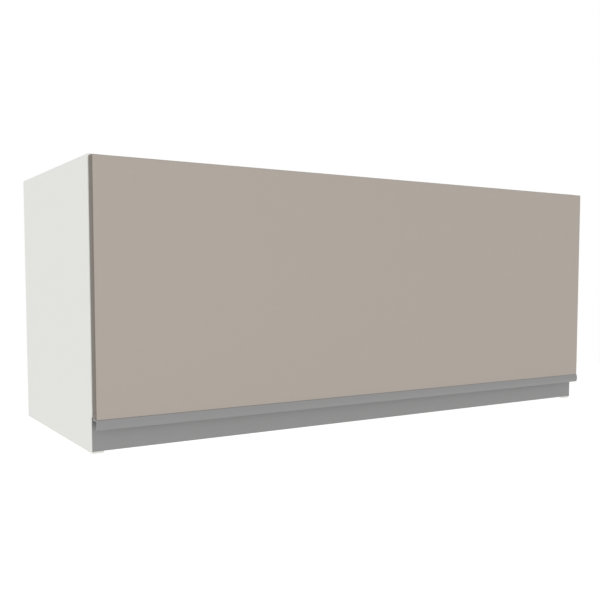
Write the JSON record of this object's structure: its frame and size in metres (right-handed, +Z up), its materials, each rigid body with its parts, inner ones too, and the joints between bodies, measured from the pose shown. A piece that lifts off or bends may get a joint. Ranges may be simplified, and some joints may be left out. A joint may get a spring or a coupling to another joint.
{
  "type": "lift up wall cabinet",
  "caption": "Wide low kitchen wall cabinet with a taupe flap door that swings up on concealed hinges and spring lift arms, a full-width handle profile and a grey fascia.",
  "frame": {"origin": "on the underside, under the middle of the width and of the depth over all, handle included", "axes": "+X along the width, +Y into the wall, so the door faces -Y, +Z up"},
  "size_m": [0.9, 0.3486, 0.374],
  "materials": {
    "white_board": "white melamine-faced board, fine satin",
    "back_board": "white lacquered hardboard, satin",
    "door_board": "taupe melamine-faced board, silk matt",
    "aluminium": "satin anodised",
    "zinc_steel": "zinc and nickel plated, satin",
    "spring_steel": "oiled dark spring wire",
    "grey_plastic": "moulded light grey, fine grain",
    "bumper_plastic": "soft translucent pad"
  },
  "bodies": {
    "carcass": {"side_panel_left": "white_board", "side_panel_right": "white_board", "top_panel": "white_board", "bottom_panel": "white_board", "hanging_rail": "white_board", "lower_rear_rail": "white_board", "front_rail": "white_board", "back_panel": "back_board", "fascia": "aluminium", "cam_top_front_left": "zinc_steel", "cam_top_front_right": "zinc_steel", "bolt_top_front_left": "zinc_steel", "bolt_top_front_right": "zinc_steel", "cam_top_rear_left": "zinc_steel", "cam_top_rear_right": "zinc_steel", "bolt_top_rear_left": "zinc_steel", "bolt_top_rear_right": "zinc_steel", "cam_bottom_front_left": "zinc_steel", "cam_bottom_front_right": "zinc_steel", "bolt_bottom_front_left": "zinc_steel", "bolt_bottom_front_right": "zinc_steel", "cam_bottom_rear_left": "zinc_steel", "cam_bottom_rear_right": "zinc_steel", "bolt_bottom_rear_left": "zinc_steel", "bolt_bottom_rear_right": "zinc_steel", "bumper_left": "bumper_plastic", "bumper_right": "bumper_plastic", "hanger_body_left": "grey_plastic", "hanger_body_right": "grey_plastic", "lift_cover_left": "grey_plastic", "lift_cover_right": "grey_plastic", "hanger_hook_left": "zinc_steel", "hanger_hook_right": "zinc_steel", "hinge_arm_left": "zinc_steel", "hinge_arm_right": "zinc_steel", "hinge_plate_left": "zinc_steel", "hinge_plate_right": "zinc_steel", "lift_plate_left": "zinc_steel", "lift_plate_right": "zinc_steel", "lift_spring_left": "spring_steel", "lift_spring_right": "spring_steel"},
    "door": {"door_panel": "door_board", "handle_profile": "aluminium", "hinge_cup_left": "zinc_steel", "hinge_cup_right": "zinc_steel", "hinge_pin_left": "zinc_steel", "hinge_pin_right": "zinc_steel", "door_bracket_left": "zinc_steel", "door_bracket_right": "zinc_steel", "bracket_rivet_left": "zinc_steel", "bracket_rivet_right": "zinc_steel"},
    "lift_arm_left": {"lift_lever_left": "zinc_steel", "lift_shaft_left": "zinc_steel", "elbow_rivet_left": "zinc_steel"},
    "lift_link_left": {"lift_link_left": "zinc_steel"},
    "lift_arm_right": {"lift_lever_right": "zinc_steel", "lift_shaft_right": "zinc_steel", "elbow_rivet_right": "zinc_steel"},
    "lift_link_right": {"lift_link_right": "zinc_steel"}
  },
  "joints": [
    {"name": "door_lift", "type": "hinge", "parent": "carcass", "child": "door", "pos_m": [0, -0.1671, 0.3652], "axis": [-1, 0, 0], "range_deg": [0, 90]},
    {"name": "lever_swing_left", "type": "hinge", "parent": "carcass", "child": "lift_arm_left", "pos_m": [-0.4125, -0.0937, 0.296], "axis": [-1, 0, 0], "range_deg": [0, 90]},
    {"name": "link_swing_left", "type": "hinge", "parent": "lift_arm_left", "child": "lift_link_left", "pos_m": [-0.4125, -0.0723, 0.1838], "axis": [-1, 0, 0], "range_deg": [-90, 0]},
    {"name": "lever_swing_right", "type": "hinge", "parent": "carcass", "child": "lift_arm_right", "pos_m": [0.4125, -0.0937, 0.296], "axis": [-1, 0, 0], "range_deg": [0, 90]},
    {"name": "link_swing_right", "type": "hinge", "parent": "lift_arm_right", "child": "lift_link_right", "pos_m": [0.4125, -0.0723, 0.1838], "axis": [-1, 0, 0], "range_deg": [-90, 0]}
  ],
  "couplings": [
    {"joint": "lever_swing_left", "follows": "door_lift", "ratio": 1},
    {"joint": "link_swing_left", "follows": "door_lift", "ratio": -1},
    {"joint": "lever_swing_right", "follows": "door_lift", "ratio": 1},
    {"joint": "link_swing_right", "follows": "door_lift", "ratio": -1}
  ]
}
